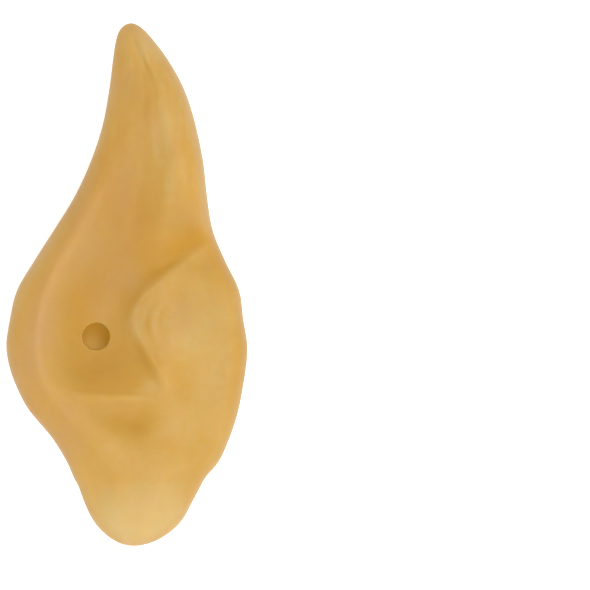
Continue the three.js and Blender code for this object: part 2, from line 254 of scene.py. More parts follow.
def rolled(distance: np.ndarray, roll: np.ndarray) -> np.ndarray:
    """Share of its full height that a skin has reached at a distance in: sqrt(1 - (1 - d/r)^3)."""
    left = 1.0 - np.clip(distance / roll, 0.0, 1.0)
    return np.sqrt(1.0 - left**3)


@dataclass
class EarForm:
    """The ear's outline and heights as functions, in millimetres, with the sections' shares as data."""

    length: float = 125.0
    width: float = 57.5
    depth: float = 23.0
    wall: float = 1.5
    front_roll: float = 6.0
    rear_roll_extra: float = 3.0
    rim_band: float = 3.0
    opening_across: float = 0.59
    opening_up: float = 0.357
    opening_half_width: float = 0.36
    opening_half_height: float = 0.258
    back_climb: float = 1.35
    climb_start: float = 2.0
    back_roll_share: float = 0.65
    edge_height_in_walls: float = 1.35
    steepest_wall: float = 1.6
    least_hollow: float = 0.4
    back_roll_least: float = 0.4
    hole_across: float = 0.371
    hole_up: float = 0.4025
    hole_radius: float = 3.2
    line_steps: int = 8
    settling_steps: int = 4
    outline_overlap: int = 3
    angle_step: float = 1e-4
    slope_step: float = 0.05
    least_chord_in_walls: float = 0.1
    angles: np.ndarray = field(init=False)
    table: np.ndarray = field(init=False)

    def __post_init__(self) -> None:
        """Turns the sections into arrays; a section stands at the angle acos(1 - 2 up)."""
        self.table = np.array(SECTIONS)
        self.angles = np.arccos(np.clip(1.0 - 2.0 * self.column("up"), -1.0, 1.0))

    def column(self, name: str) -> np.ndarray:
        """One of the sections' columns, from the lobe's end to the horn's tip."""
        return self.table[:, SECTION_COLUMNS.index(name)]

    def x_at(self, share: np.ndarray) -> np.ndarray:
        """A share of the width as a place along X."""
        return (np.asarray(share) - 0.5) * self.width

    def y_at(self, share: np.ndarray) -> np.ndarray:
        """A share of the length as a place along Y."""
        return (np.asarray(share) - 0.5) * self.length

    def outline(self, angle: np.ndarray) -> tuple[np.ndarray, np.ndarray, np.ndarray]:
        """The outline as one closed curve: angles 0 to pi go up the right side, 0 to -pi up the left.

        Args:
            angle: Angles of any shape.

        Returns:
            x, y and z there: x and the edge's rise are smooth curves through the sections, and
            y = -length/2 cos(angle).
        """
        left = np.column_stack([-self.angles, self.column("left"), self.column("left_rise")])[::-1][:-1]
        right = np.column_stack([self.angles, self.column("right"), self.column("right_rise")])
        loop = np.vstack([left, right])
        turn = np.array([2.0 * np.pi, 0.0, 0.0])
        extra = self.outline_overlap
        knots = np.vstack([loop[-1 - extra:-1] - turn, loop, loop[1:1 + extra] + turn])
        read = curve_at(knots[:, 0], knots[:, 1:], angle)
        lowest = self.edge_height_in_walls * self.wall
        return self.x_at(read[..., 0]), -0.5 * self.length * np.cos(angle), lowest + read[..., 1] * self.depth

    def inset_outline(self, angle: np.ndarray, inset: float) -> tuple[np.ndarray, np.ndarray, np.ndarray]:
        """The outline moved inwards along its normal.

        Args:
            angle: Angles of any shape.
            inset: How far in, in millimetres.

        Returns:
            x, y, and the slant, which turns a distance along X into one square to the outline.
        """
        x0, y0, _ = self.outline(angle - self.angle_step)
        x1, y1, _ = self.outline(angle + self.angle_step)
        x, y, _ = self.outline(angle)
        run = np.hypot(x1 - x0, y1 - y0)
        return x - inset * (y1 - y0) / run, y + inset * (x1 - x0) / run, np.abs(y1 - y0) / run

    def place(self, x: np.ndarray, y: np.ndarray) -> tuple[np.ndarray, np.ndarray, np.ndarray]:
        """Where a point lies in its section.

        Args:
            x: Places along X.
            y: Places along Y.

        Returns:
            The section's angle, the share across, and the edge's height there.
        """
        angle = np.arccos(np.clip(-2.0 * y / self.length, -1.0, 1.0))
        left, _, left_z = self.outline(-angle)
        right, _, right_z = self.outline(angle)
        width = right - left
        wide = width > self.least_chord_in_walls * self.wall
        share = np.where(wide, (x - left) / np.maximum(width, TINY), 0.5)
        share = np.clip(share, 0.0, 1.0)
        return angle, share, left_z + (right_z - left_z) * share

    def broad_height(self, angle: np.ndarray, share: np.ndarray) -> np.ndarray:
        """The front without its folds: a curve up the ear for each place across, then a curve across.

        Args:
            angle: Sections' angles.
            share: Shares across, of the same shape.

        Returns:
            Heights, of the same shape.
        """
        places = np.array(list(ACROSS.values()))
        shares = np.column_stack([self.column(name) for name in ACROSS])
        heights = curve_at(self.angles, shares, angle) * self.depth
        gap = np.diff(places)
        slope = heights @ even_slopes(places).T
        within = np.clip(share, places[0], places[-1])
        i = np.clip(np.searchsorted(places, within) - 1, 0, len(gap) - 1)
        s = (within - places[i]) / gap[i]
        near, far = (np.take_along_axis(heights, (i + k)[..., None], -1)[..., 0] for k in (0, 1))
        leave, arrive = (np.take_along_axis(slope, (i + k)[..., None], -1)[..., 0] * gap[i] for k in (0, 1))
        return hermite(s, near, far, leave, arrive)

    def strength(self, stroke: Stroke, x: np.ndarray, y: np.ndarray) -> np.ndarray:
        """A stroke's strength: a bell exp(-(gap/spread)^2) across its line, faded towards its ends.

        Args:
            stroke: The soft line.
            x: Places along X.
            y: Places along Y.

        Returns:
            Shares from 0 to 1, of the same shape.
        """
        points = np.array([(self.x_at(a), self.y_at(u)) for a, u in stroke.line])
        runs = np.concatenate([[0.0], np.cumsum(np.hypot(*np.diff(points, axis=0).T))])
        line = curve_at(runs, points, np.linspace(0.0, runs[-1], self.line_steps * (len(points) - 1) + 1))
        starts = np.concatenate([[0.0], np.cumsum(np.hypot(*np.diff(line, axis=0).T))])
        gap = np.full(x.shape, np.inf)
        turn = np.zeros(x.shape)
        along = np.zeros(x.shape)
        for a, b, start in zip(line[:-1], line[1:], starts[:-1]):
            dx, dy = b - a
            size = math.hypot(dx, dy)
            t = np.clip(((x - a[0]) * dx + (y - a[1]) * dy) / size**2, 0.0, 1.0)
            off_x, off_y = x - a[0] - t * dx, y - a[1] - t * dy
            here = np.hypot(off_x, off_y)
            nearer = here < gap
            gap = np.where(nearer, here, gap)
            turn = np.where(nearer, (dx * off_y - dy * off_x) / (size * np.maximum(here, TINY)), turn)
            along = np.where(nearer, (start + t * size) / starts[-1], along)
        spread = stroke.right_spread + (stroke.left_spread - stroke.right_spread) * (1.0 + turn) / 2.0
        ends = ease(along / stroke.start_fade) * ease((1.0 - along) / stroke.end_fade)
        return ends * np.exp(-((gap / (spread * self.width)) ** 2))

    def front_height(self, x: np.ndarray, y: np.ndarray, skin: Skin) -> np.ndarray:
        """The front's full height before it rolls down; the hollow repeats only part of each fold.

        Args:
            x: Places along X.
            y: Places along Y.
            skin: Which side of the latex.

        Returns:
            Heights, of the same shape.
        """
        angle, share, _ = self.place(x, y)
        height = self.broad_height(angle, share)
        for fold in FOLDS:
            part = 1.0 if skin is Skin.OUTSIDE else fold.inside
            if part > 0.0:
                height = height + part * fold.height * self.depth * self.strength(fold, x, y)
        return height

    def ceiling_height(self, x: np.ndarray, y: np.ndarray) -> np.ndarray:
        """The hollow's ceiling: the front lowered by the wall, measured square to its slope.

        Args:
            x: Places along X.
            y: Places along Y.

        Returns:
            Heights, of the same shape.
        """
        step = self.slope_step
        here = self.front_height(x, y, Skin.HOLLOW)
        slope_x = (self.front_height(x + step, y, Skin.HOLLOW) - here) / step
        slope_y = (self.front_height(x, y + step, Skin.HOLLOW) - here) / step
        steep = np.sqrt(1.0 + slope_x**2 + slope_y**2)
        return here - self.wall * np.minimum(self.steepest_wall, steep)

    def back_height(self, x: np.ndarray, y: np.ndarray) -> np.ndarray:
        """The back before it rolls up: level on the rim, then climbing as sqrt(s^2 + c^2) - c.

        Args:
            x: Places along X.
            y: Places along Y.

        Returns:
            Heights, of the same shape.
        """
        off_x = x - self.x_at(self.opening_across)
        off_y = y - self.y_at(self.opening_up)
        rings = np.hypot(off_x / (self.opening_half_width * self.width),
                         off_y / (self.opening_half_height * self.length))
        outside = np.hypot(off_x, off_y) * (1.0 - 1.0 / np.maximum(rings, 1.0)) - self.rim_band
        climb = np.hypot(np.maximum(outside, 0.0), self.climb_start) - self.climb_start
        return self.back_climb * self.depth * climb / self.length

    def section_of(self, x: np.ndarray, y: np.ndarray, inset: float) -> tuple[np.ndarray, np.ndarray]:
        """Which inset section a point lies in, and how far in from the outline it is.

        The section's angle starts from the point's y and is settled a few times, because an inset
        section is a slanted line. Far from both ends the distance is ab / (a + b) for the distances
        a and b to the two ends.

        Args:
            x: Places along X.
            y: Places along Y.
            inset: How far the outline is moved in, in millimetres.

        Returns:
            The share across, and the distance in.
        """
        turn = np.clip(-2.0 * y / (self.length - 2.0 * inset), -1.0, 1.0)
        for _ in range(self.settling_steps):
            angle = np.arccos(turn)
            left_x, left_y, left_slant = self.inset_outline(-angle, inset)
            right_x, right_y, right_slant = self.inset_outline(angle, inset)
            share = np.clip((x - left_x) / np.maximum(right_x - left_x, NARROWEST), 0.0, 1.0)
            here = left_y + (right_y - left_y) * share
            turn = np.clip(turn - 2.0 * (y - here) / self.length, -1.0, 1.0)
        from_left = np.maximum(x - left_x, 0.0) * left_slant
        from_right = np.maximum(right_x - x, 0.0) * right_slant
        return share, from_left * from_right / np.maximum(from_left + from_right, TINY)

    def front_z(self, x: np.ndarray, y: np.ndarray, skin: Skin) -> np.ndarray:
        """Height of the front, or of the hollow's ceiling: it rolls up from the outline's edge.

        Args:
            x: Places along X.
            y: Places along Y.
            skin: Which side of the latex.

        Returns:
            Heights, of the same shape.
        """
        inset = 0.0 if skin is Skin.OUTSIDE else self.wall
        share, distance = self.section_of(x, y, inset)
        edge = self.place(x, y)[2]
        if skin is Skin.OUTSIDE:
            top = self.front_height(x, y, skin)
        else:
            top = np.maximum(self.ceiling_height(x, y), edge + self.least_hollow)
        roll = self.front_roll + self.rear_roll_extra * (1.0 - share) - inset
        return edge + (top - edge) * rolled(distance, roll)

    def back_z(self, x: np.ndarray, y: np.ndarray, skin: Skin) -> np.ndarray:
        """Height of the back, or of the hollow's floor: it rolls down from the outline's edge.

        Args:
            x: Places along X.
            y: Places along Y.
            skin: Which side of the latex.

        Returns:
            Heights, of the same shape.
        """
        inset = 0.0 if skin is Skin.OUTSIDE else self.wall
        distance = self.section_of(x, y, inset)[1]
        edge = self.place(x, y)[2]
        bottom = self.back_height(x, y) + inset
        if skin is Skin.HOLLOW:
            bottom = np.minimum(bottom, edge - self.least_hollow)
        roll = self.back_roll_least + self.back_roll_share * (edge - bottom)
        return edge - (edge - bottom) * rolled(distance, roll)


@dataclass(frozen=True)
class TonePatch:
    """A soft spot painted darker (above 0) or paler (below 0) than its surroundings, as painted shade or
    painted light.

    The place is in shares of the width and the length, and the two reaches are in millimetres.
    Blush is how far the spot turns rosy (above 0) or amber (below 0).
    """

    name: str
    across: float
    up: float
    reach_across: float
    reach_up: float
    depth: float
    blush: float = 0.0


# Darker patches are mostly painted shade, in the bowl, creases and hollows, and paler ones painted light, on
# the tragus dome, the flap, the horn's tip and the lobe's end; blush tints the latex.
TONE_PATCHES = (
    TonePatch("bowl_floor", 0.42, 0.345, 9.0, 5.0, 0.50),
    TonePatch("bowl_middle", 0.38, 0.46, 10.0, 10.0, 0.45),
    TonePatch("bowl_upper", 0.47, 0.525, 6.0, 7.0, 0.35),
    TonePatch("bowl_right", 0.50, 0.38, 3.0, 8.0, -0.15),
    TonePatch("bowl_left", 0.22, 0.31, 4.0, 4.0, -0.25),
    TonePatch("bowl_rear", 0.38, 0.56, 6.0, 16.0, 0.30, 0.30),
    TonePatch("horn_root", 0.54, 0.625, 8.0, 10.0, 0.70),
    TonePatch("scapha", 0.79, 0.67, 4.0, 10.0, 0.15),
    TonePatch("helix_shoulder", 0.15, 0.44, 5.0, 14.0, 0.10, 0.40),
    TonePatch("helix_bend", 0.25, 0.565, 4.0, 6.0, 0.15, 0.30),
    TonePatch("helix_low", 0.07, 0.33, 5.0, 9.0, 0.00, 0.45),
    TonePatch("horn_left", 0.48, 0.69, 4.5, 14.0, 0.50, 0.25),
    TonePatch("horn_middle", 0.60, 0.78, 4.0, 10.0, 0.10, 0.20),
    TonePatch("horn_upper", 0.51, 0.90, 5.0, 8.0, -0.30),
    TonePatch("horn_tip", 0.60, 0.970, 4.5, 6.0, -0.85),
    TonePatch("horn_tip_rear", 0.52, 0.920, 2.5, 5.0, 0.12),
    TonePatch("horn_right", 0.70, 0.85, 4.0, 12.0, -0.20),
    TonePatch("behind_lobe", 0.22, 0.245, 6.0, 6.0, 0.25, 0.40),
    TonePatch("under_antitragus", 0.38, 0.258, 7.0, 4.0, 0.25),
    TonePatch("before_dent", 0.71, 0.225, 5.0, 7.0, -0.30),
    TonePatch("below_dent", 0.60, 0.175, 3.0, 4.0, -0.25),
    TonePatch("bowl_corner", 0.60, 0.310, 2.5, 2.5, -0.50),
    TonePatch("roll_foot", 0.67, 0.655, 2.5, 4.0, -0.40),
    TonePatch("helix_top", 0.30, 0.628, 3.0, 5.0, 0.15, 0.30),
    TonePatch("tragus_dome", 0.76, 0.40, 6.5, 7.0, -0.42),
    TonePatch("tragus_edge", 0.85, 0.56, 4.0, 5.0, 0.60),
    TonePatch("tragus_flap", 0.88, 0.42, 5.0, 12.0, -0.38),
    TonePatch("flap_low", 0.86, 0.24, 5.0, 9.0, -0.30),
    TonePatch("flap_middle", 0.84, 0.325, 4.0, 5.0, -0.25),
    TonePatch("corner_front", 0.70, 0.335, 2.5, 3.0, 0.25),
    TonePatch("lobe_middle", 0.44, 0.135, 9.0, 6.0, -0.12),
    TonePatch("lobe_neck", 0.56, 0.105, 6.0, 5.0, -0.32),
    TonePatch("antitragus_shade", 0.45, 0.277, 7.0, 1.6, 0.25),
    TonePatch("lobe_amber", 0.46, 0.132, 6.5, 4.0, -0.25, -0.42),
    TonePatch("bowl_amber", 0.45, 0.308, 9.0, 2.2, -0.05, -0.30),
    TonePatch("scapha_low", 0.75, 0.630, 6.0, 4.5, 0.05, 0.35),
    TonePatch("tragus_rise", 0.745, 0.445, 4.0, 5.0, 0.00, 0.35),
    TonePatch("lobe_back", 0.26, 0.185, 5.0, 5.0, -0.15, 0.35),
    TonePatch("horn_foot", 0.33, 0.690, 3.0, 7.0, 0.00, 0.25),
    TonePatch("crus_foot", 0.52, 0.510, 3.0, 4.0, -0.10, 0.35),
    TonePatch("horn_neck", 0.50, 0.880, 4.0, 6.0, 0.00, 0.30),
    TonePatch("lobe_end", 0.56, 0.040, 16.0, 8.0, -0.70),
    TonePatch("lobe_end_middle", 0.56, 0.035, 7.0, 5.0, -0.10),
    TonePatch("lobe_end_rear", 0.41, 0.060, 3.5, 6.0, -0.30),
    TonePatch("lobe_end_front", 0.69, 0.070, 4.0, 6.0, -0.45),
    TonePatch("lobe_front", 0.72, 0.13, 5.0, 5.0, -0.10),
)


@dataclass(frozen=True)
class ToneBand(Stroke):
    """A soft line painted darker or paler, as painted shade or painted light, or turned rosy or amber, as in
    a TonePatch.
    """

    depth: float
    blush: float = 0.0


# Bands with depth above 0 are painted shade along creases, grooves and edges, those below 0 painted light
# along ridges, crests and a shaded flank; horn_streak darkens a line on the horn.
TONE_BANDS = (
    ToneBand("tragus_light",
             ((0.850, 0.584), (0.750, 0.538), (0.652, 0.504), (0.557, 0.466), (0.537, 0.43), (0.585, 0.383),
              (0.68, 0.30)),
             0.11, 0.028, 0.60, 0.45, depth=-0.45),
    ToneBand("tragus_foot", ((0.50, 0.485), (0.495, 0.43), (0.527, 0.390), (0.57, 0.355)),
             0.035, 0.030, 0.40, 0.40, depth=-0.40),
    ToneBand("crus_shade_amber", ((0.850, 0.603), (0.796, 0.582), (0.703, 0.552), (0.612, 0.521), (0.555, 0.50)),
             0.018, 0.090, 0.20, 0.40, depth=1.05, blush=-0.36),
    ToneBand("dent_amber", ((0.40, 0.262), (0.50, 0.245), (0.575, 0.230), (0.625, 0.215)),
             0.055, 0.055, 0.50, 0.40, depth=0.15, blush=-0.42),
    ToneBand("helix_light",
             ((0.40, 0.64), (0.33, 0.567), (0.25, 0.516), (0.185, 0.468), (0.140, 0.411), (0.10, 0.353),
              (0.073, 0.31)),
             0.060, 0.055, 0.25, 0.25, depth=-0.15, blush=0.22),
    ToneBand("groove_shade", ((0.602, 0.4565), (0.587, 0.434), (0.594, 0.409), (0.619, 0.386)),
             0.014, 0.014, 0.40, 0.40, depth=0.15),
    ToneBand("ring_shade", ((0.67, 0.458), (0.652, 0.447), (0.643, 0.430), (0.652, 0.409)),
             0.012, 0.012, 0.40, 0.40, depth=0.10),
    ToneBand("horn_streak", ((0.585, 0.870), (0.586, 0.80)), 0.014, 0.014, 0.40, 0.40, depth=0.38),
    ToneBand("horn_shine", ((0.622, 0.83), (0.624, 0.71)), 0.022, 0.022, 0.40, 0.40, depth=-0.55),
    ToneBand("scapha_light", ((0.645, 0.87), (0.672, 0.82), (0.690, 0.76), (0.692, 0.70), (0.66, 0.63)),
             0.020, 0.045, 0.30, 0.30, depth=-0.30),
    ToneBand("antitragus_shine", ((0.22, 0.286), (0.33, 0.284), (0.45, 0.2835), (0.63, 0.2865)),
             0.016, 0.016, 0.30, 0.30, depth=-0.18),
    ToneBand("lobe_rim", ((0.04, 0.32), (0.09, 0.273), (0.18, 0.215), (0.235, 0.180)),
             0.025, 0.025, 0.30, 0.30, depth=0.45),
    ToneBand("flap_rim", ((0.955, 0.47), (0.985, 0.40), (0.982, 0.33), (0.96, 0.265), (0.91, 0.205)),
             0.025, 0.025, 0.30, 0.30, depth=0.40),
    ToneBand("helix_rim", ((0.27, 0.655), (0.20, 0.60), (0.11, 0.538), (0.05, 0.478), (0.02, 0.42)),
             0.030, 0.030, 0.30, 0.30, depth=-0.50),
)


@dataclass
class ShellRings:
    """Rings of points that close on themselves: the hole's rim, front, outline, back, opening, hollow."""

    rows: list[np.ndarray] = field(default_factory=list)
    skins: list[Skin] = field(default_factory=list)

    def add(self, x: np.ndarray, y: np.ndarray, z: np.ndarray, skin: Skin) -> None:
        """Adds rings on one side of the latex, with their places given as rings x rays."""
        self.rows.extend(np.stack([x, y, z], axis=-1))
        self.skins.extend([skin] * len(z))

    def points(self) -> np.ndarray:
        """All points as rings x rays x 3."""
        return np.array(self.rows)


@dataclass
class EarShell:
    """The latex skin as one closed surface of rays and rings round the hearing hole.

    Sizes are in millimetres. The rays leave the hole, cross the front, pass round the outline, cross
    the back to the opening, turn round its lip, and come back the same way inside the hollow.
    """

    form: EarForm
    rays: int = 420
    front_rings: int = 128
    back_rings: int = 18
    hollow_back_rings: int = 12
    hollow_front_rings: int = 44
    edge_rings: int = 4
    hole_edge: float = 0.5
    opening_edge: float = 0.45
    hole_in_disk: float = 0.08
    hole_reach: float = 0.35
    uneven_height: float = 0.035
    uneven_waves: int = 14
    uneven_shortest: float = 6.0
    uneven_longest: float = 26.0
    curve_step: float = 0.7
    rim_reach: float = 1.4
    horn_start: float = 0.5
    horn_run: float = 0.35
    seed: int = 11

    def spread(self, radius: np.ndarray, turn: np.ndarray, inset: float) -> tuple[np.ndarray, np.ndarray]:
        """Lays a unit disk over the ear with its centre at the hearing hole.

        The disk is first turned into itself so that its centre goes to the hole, w = (z + c) /
        (1 + conj(c) z). Then w's height is the cosine of a section's angle, and its place in its
        own chord is the share across that section.

        Args:
            radius: Distances from the disk's centre, 0 to 1.
            turn: Angles in the disk.
            inset: How far the outline is moved in, in millimetres.

        Returns:
            x and y.
        """
        z = radius * np.exp(1j * turn)
        w = (z + self.centre()) / (1.0 + np.conj(self.centre()) * z)
        up = np.clip(w.imag, -1.0, 1.0)
        angle = np.arccos(-up)
        share = np.clip(0.5 + 0.5 * w.real / np.sqrt(np.maximum(1.0 - up**2, TINY_SQUARE)), 0.0, 1.0)
        left_x, left_y, _ = self.form.inset_outline(-angle, inset)
        right_x, right_y, _ = self.form.inset_outline(angle, inset)
        return left_x + (right_x - left_x) * share, left_y + (right_y - left_y) * share

    def centre(self) -> complex:
        """Finds the hearing hole's place in the unit disk.

        Returns:
            The place, with the share across as its real part and the height as its imaginary part.
        """
        form = self.form
        x, y = form.x_at(form.hole_across), form.y_at(form.hole_up)
        _, share, _ = form.place(np.array([x]), np.array([y]))
        up = 2.0 * y / form.length
        return complex((2.0 * float(share[0]) - 1.0) * math.sqrt(1.0 - up**2), up)

    def hole_circle(self, turn: np.ndarray, inset: float, radius: float) -> tuple[np.ndarray, np.ndarray]:
        """The hole's circle, with each ray's point in the direction in which that ray leaves.

        Args:
            turn: The rays' angles in the disk.
            inset: How far the outline is moved in, in millimetres.
            radius: The circle's radius.

        Returns:
            x and y, one for each ray.
        """
        form = self.form
        x0, y0 = form.x_at(form.hole_across), form.y_at(form.hole_up)
        x, y = self.spread(np.full_like(turn, self.hole_in_disk), turn, inset)
        off = np.hypot(x - x0, y - y0)
        return x0 + radius * (x - x0) / off, y0 + radius * (y - y0) / off

    def front_grid(self, rings: int, turn: np.ndarray, inset: float) -> tuple[np.ndarray, np.ndarray]:
        """Rings from the hole's rim to the outline, closest together at the outline.

        Args:
            rings: How many rings, both ends included.
            turn: The rays' angles in the disk.
            inset: How far the outline is moved in, in millimetres.

        Returns:
            x and y, as rings x rays. Near the hole the rings ease from its circle to the disk's.
        """
        swing = np.linspace(math.asin(self.hole_in_disk), 0.5 * math.pi, rings)
        radius = np.sin(swing)[:, None]
        x, y = self.spread(radius, turn[None, :], inset)
        goal_x, goal_y = self.hole_circle(turn, inset, self.form.hole_radius + self.hole_edge)
        left = 1.0 - ease((radius - radius[0]) / (self.hole_reach - self.hole_in_disk))
        return x + left * (goal_x - x[0]), y + left * (goal_y - y[0])

    def opening_oval(self, outline_x: np.ndarray, outline_y: np.ndarray,
                     grown: float) -> tuple[np.ndarray, np.ndarray]:
        """The opening's oval, grown by some millimetres, with a point towards each outline point.

        Args:
            outline_x: The outline's places along X, one for each ray.
            outline_y: Its places along Y.
            grown: How much wider the oval is on every side.

        Returns:
            x and y, one for each ray.
        """
        form = self.form
        x0, y0 = form.x_at(form.opening_across), form.y_at(form.opening_up)
        half_width = form.opening_half_width * form.width + grown
        half_height = form.opening_half_height * form.length + grown
        angle = np.arctan2((outline_y - y0) / half_height, (outline_x - x0) / half_width)
        return x0 + half_width * np.cos(angle), y0 + half_height * np.sin(angle)

    def back_grid(self, shares: np.ndarray, outline_x: np.ndarray,
                  outline_y: np.ndarray) -> tuple[np.ndarray, np.ndarray]:
        """Rings between the outline, at share 0, and the opening's lip, at share 1, on straight rays.

        Args:
            shares: How far along the rays the rings lie.
            outline_x: The outline's places along X, one for each ray.
            outline_y: Its places along Y.

        Returns:
            x and y, as rings x rays.
        """
        oval_x, oval_y = self.opening_oval(outline_x, outline_y, self.opening_edge)
        share = shares[:, None]
        return outline_x + (oval_x - outline_x) * share, outline_y + (oval_y - outline_y) * share

    def unevenness(self, x: np.ndarray, y: np.ndarray) -> np.ndarray:
        """Slight waviness of a hand-poured casting: a sum of long, low sine waves in seeded directions.

        Args:
            x: Places along X.
            y: Places along Y.

        Returns:
            Heights to add, of the same shape.
        """
        rng = np.random.default_rng(self.seed)
        total = np.zeros(x.shape)
        for _ in range(self.uneven_waves):
            heading, phase = rng.uniform(0.0, 2.0 * math.pi, 2)
            length = rng.uniform(self.uneven_shortest, self.uneven_longest)
            run = x * math.cos(heading) + y * math.sin(heading)
            total += np.sin(2.0 * math.pi * run / length + phase)
        return self.uneven_height * total / math.sqrt(self.uneven_waves)

    def rings(self) -> ShellRings:
        """Lays all rings, in order, from the hole's rim round the whole skin and back to the hole.

        Returns:
            The rings, of which the last is followed by the first.
        """
        form = self.form
        turn = np.linspace(0.0, 2.0 * math.pi, self.rays, endpoint=False)
        made = ShellRings()
        x, y = self.front_grid(self.front_rings, turn, 0.0)
        front = form.front_z(x, y, Skin.OUTSIDE) + self.unevenness(x, y) * self.fade_in(x, y)
        made.add(x, y, front, Skin.OUTSIDE)
        hole_top = front[0]
        out_x, out_y = x[-1], y[-1]
        shares = 1.0 - np.cos(np.linspace(0.0, 0.5 * math.pi, self.back_rings + 1))[1:]
        x, y = self.back_grid(shares, out_x, out_y)
        back = form.back_z(x, y, Skin.OUTSIDE)
        made.add(x, y, back, Skin.OUTSIDE)
        in_x, in_y = self.spread(np.ones_like(turn), turn, form.wall)
        shares = 1.0 - np.cos(np.linspace(0.0, 0.5 * math.pi, self.hollow_back_rings + 1))[::-1]
        x, y = self.back_grid(shares, in_x, in_y)
        hollow_back = form.back_z(x, y, Skin.HOLLOW)
        self.add_lip(made, out_x, out_y, back[-1], hollow_back[0])
        made.add(x, y, hollow_back, Skin.HOLLOW)
        x, y = self.front_grid(self.hollow_front_rings, turn, form.wall)
        ceiling = form.front_z(x, y, Skin.HOLLOW)
        made.add(x[:-1][::-1], y[:-1][::-1], ceiling[:-1][::-1], Skin.HOLLOW)
        self.add_hole(made, turn, ceiling[0], hole_top)
        return made

    def fade_in(self, x: np.ndarray, y: np.ndarray) -> np.ndarray:
        """Goes from 0 at the outline to 1 where the front has rolled up to its full height."""
        return ease(self.form.section_of(x, y, 0.0)[1] / self.form.front_roll)

    def round_over(self) -> tuple[np.ndarray, np.ndarray]:
        """A quarter circle of radius 1 from lying to standing: how far out it still is, how far down."""
        angle = np.linspace(0.0, 0.5 * math.pi, self.edge_rings + 1)[1:, None]
        return 1.0 - np.sin(angle), 1.0 - np.cos(angle)

    def add_lip(self, made: ShellRings, out_x: np.ndarray, out_y: np.ndarray, low: np.ndarray,
                high: np.ndarray) -> None:
        """Adds the opening's lip: a rounded edge, a short upright wall and a second rounded edge.

        Args:
            made: The rings so far.
            out_x: The outline's places along X.
            out_y: Its places along Y.
            low: Heights where the back ends.
            high: Heights where the hollow starts.
        """
        out, along = self.round_over()
        ovals = [self.opening_oval(out_x, out_y, self.opening_edge * float(share)) for share in out[:, 0]]
        x, y = np.moveaxis(np.array(ovals), 1, 0)
        made.add(x, y, low + self.opening_edge * along, Skin.OUTSIDE)
        made.add(x[::-1][:-1], y[::-1][:-1], (high - self.opening_edge * along)[::-1][:-1], Skin.HOLLOW)

    def add_hole(self, made: ShellRings, turn: np.ndarray, low: np.ndarray, high: np.ndarray) -> None:
        """Adds the hearing hole's wall, rounded at both ends, from the hollow up to the front.

        Args:
            made: The rings so far.
            turn: The rays' angles in the disk.
            low: Heights of the hollow's last ring.
            high: Heights of the front's first ring.
        """
        out, along = self.round_over()
        circles = [self.hole_circle(turn, 0.0, self.form.hole_radius + self.hole_edge * float(share))
                   for share in out[:, 0]]
        x, y = np.moveaxis(np.array(circles), 1, 0)
        made.add(x, y, low + self.hole_edge * along, Skin.HOLLOW)
        made.add(x[::-1], y[::-1], (high - self.hole_edge * along)[::-1], Skin.OUTSIDE)

    def pooling(self, x: np.ndarray, y: np.ndarray) -> np.ndarray:
        """How hollow the front is at each point, from -1 on a ridge to 1 in a crease. The finish darkens
        creases with it, as pooled latex and painted shade, and pales ridges as painted light.

        It is the mean of the heights a step away on four sides, less the height here, over the step
        squared, and levels off as v / sqrt(1 + v^2).

        Args:
            x: Places along X.
            y: Places along Y.

        Returns:
            Values of the same shape.
        """
        step = self.curve_step
        here = self.form.front_height(x, y, Skin.OUTSIDE)
        sides = ((step, 0.0), (-step, 0.0), (0.0, step), (0.0, -step))
        around = sum(self.form.front_height(x + dx, y + dy, Skin.OUTSIDE) for dx, dy in sides)
        hollow = (around / len(sides) - here) / step**2 * self.form.front_roll
        return hollow / np.sqrt(1.0 + hollow**2)

    def tone(self, x: np.ndarray, y: np.ndarray) -> tuple[np.ndarray, np.ndarray]:
        """The sums of the soft tone patches, each a bell in X and Y, and bands: depth, which is painted shade
        and painted light, and blush.

        Args:
            x: Places along X.
            y: Places along Y.

        Returns:
            The sum of depths and the sum of blushes, each of the same shape.
        """
        form = self.form
        depth, blush = np.zeros(x.shape), np.zeros(x.shape)
        for patch in TONE_PATCHES:
            off_x = (x - form.x_at(patch.across)) / patch.reach_across
            off_y = (y - form.y_at(patch.up)) / patch.reach_up
            bell = np.exp(-(off_x**2) - off_y**2)
            depth += patch.depth * bell
            blush += patch.blush * bell
        for band in TONE_BANDS:
            strength = form.strength(band, x, y)
            depth += band.depth * strength
            blush += band.blush * strength
        return depth, blush

    def attributes(self, points: np.ndarray) -> dict[str, np.ndarray]:
        """Values that the finish reads at each point.

        Args:
            points: All points, as rings x rays x 3, in millimetres.

        Returns:
            Arrays of rings x rays by name. The rim is 1 on the outline, and the horn is 1 at the tip.
        """
        x, y = points[..., 0], points[..., 1]
        count = self.front_rings
        pooled_and_shaded = np.zeros(x.shape)
        pooled_and_shaded[:count] = self.pooling(x[:count], y[:count]) * self.fade_in(x[:count], y[:count])
        distance = self.form.section_of(x, y, 0.0)[1]
        up = y / self.form.length + 0.5
        depth, blush = self.tone(x, y)
        return {
            # Painted shade (above 0) and painted light (below 0) from the tone patches and bands.
            "tone": depth,
            "blush": blush,
            # Crease pooling of the latex, used also as painted shade in creases and painted light on ridges.
            "pooling": pooled_and_shaded,
            # Painted shade and rosy tint along the outline.
            "rim": np.exp(-((distance / self.rim_reach) ** 2)),
            "horn": ease((up - self.horn_start) / self.horn_run),
        }

